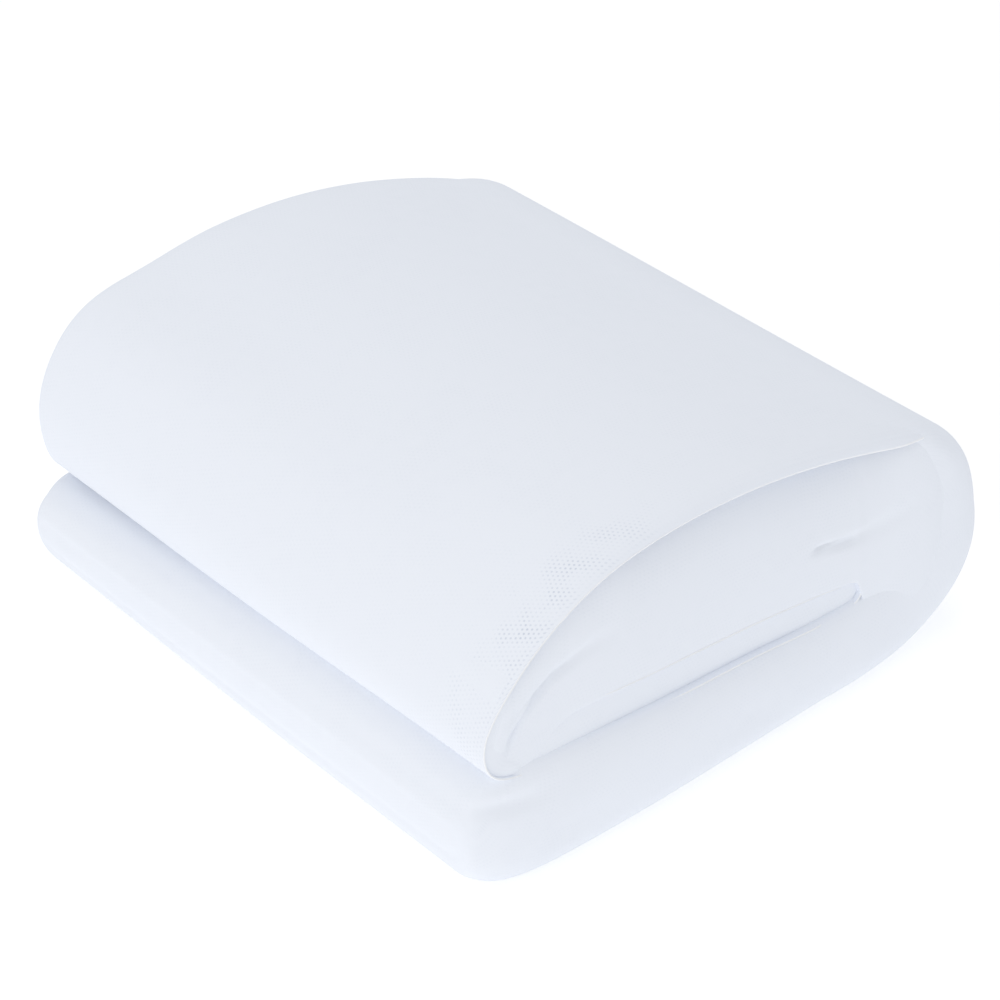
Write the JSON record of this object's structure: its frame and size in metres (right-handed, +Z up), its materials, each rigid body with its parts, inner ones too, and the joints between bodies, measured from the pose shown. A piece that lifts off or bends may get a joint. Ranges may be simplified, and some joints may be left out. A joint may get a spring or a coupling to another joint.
{
  "type": "roll of mosquito netting",
  "caption": "Long band of fine mosquito netting folded flat and wound into a soft bundle with a cover fold, an open tongue fold and a lower pad.",
  "frame": {"origin": "middle of the base of the bounding box, on the surface the bundle lies on", "axes": "+Y runs along the folded edges, from the near wound end to the far one, +X points from the folded edge of the cover to the side where the band turns, +Z is up"},
  "size_m": [0.295, 0.3156, 0.1401],
  "materials": {
    "netting": "fine white knitted mesh, matt and a little translucent"
  },
  "bodies": {
    "root": {"netting_roll": "netting"}
  },
  "joints": []
}
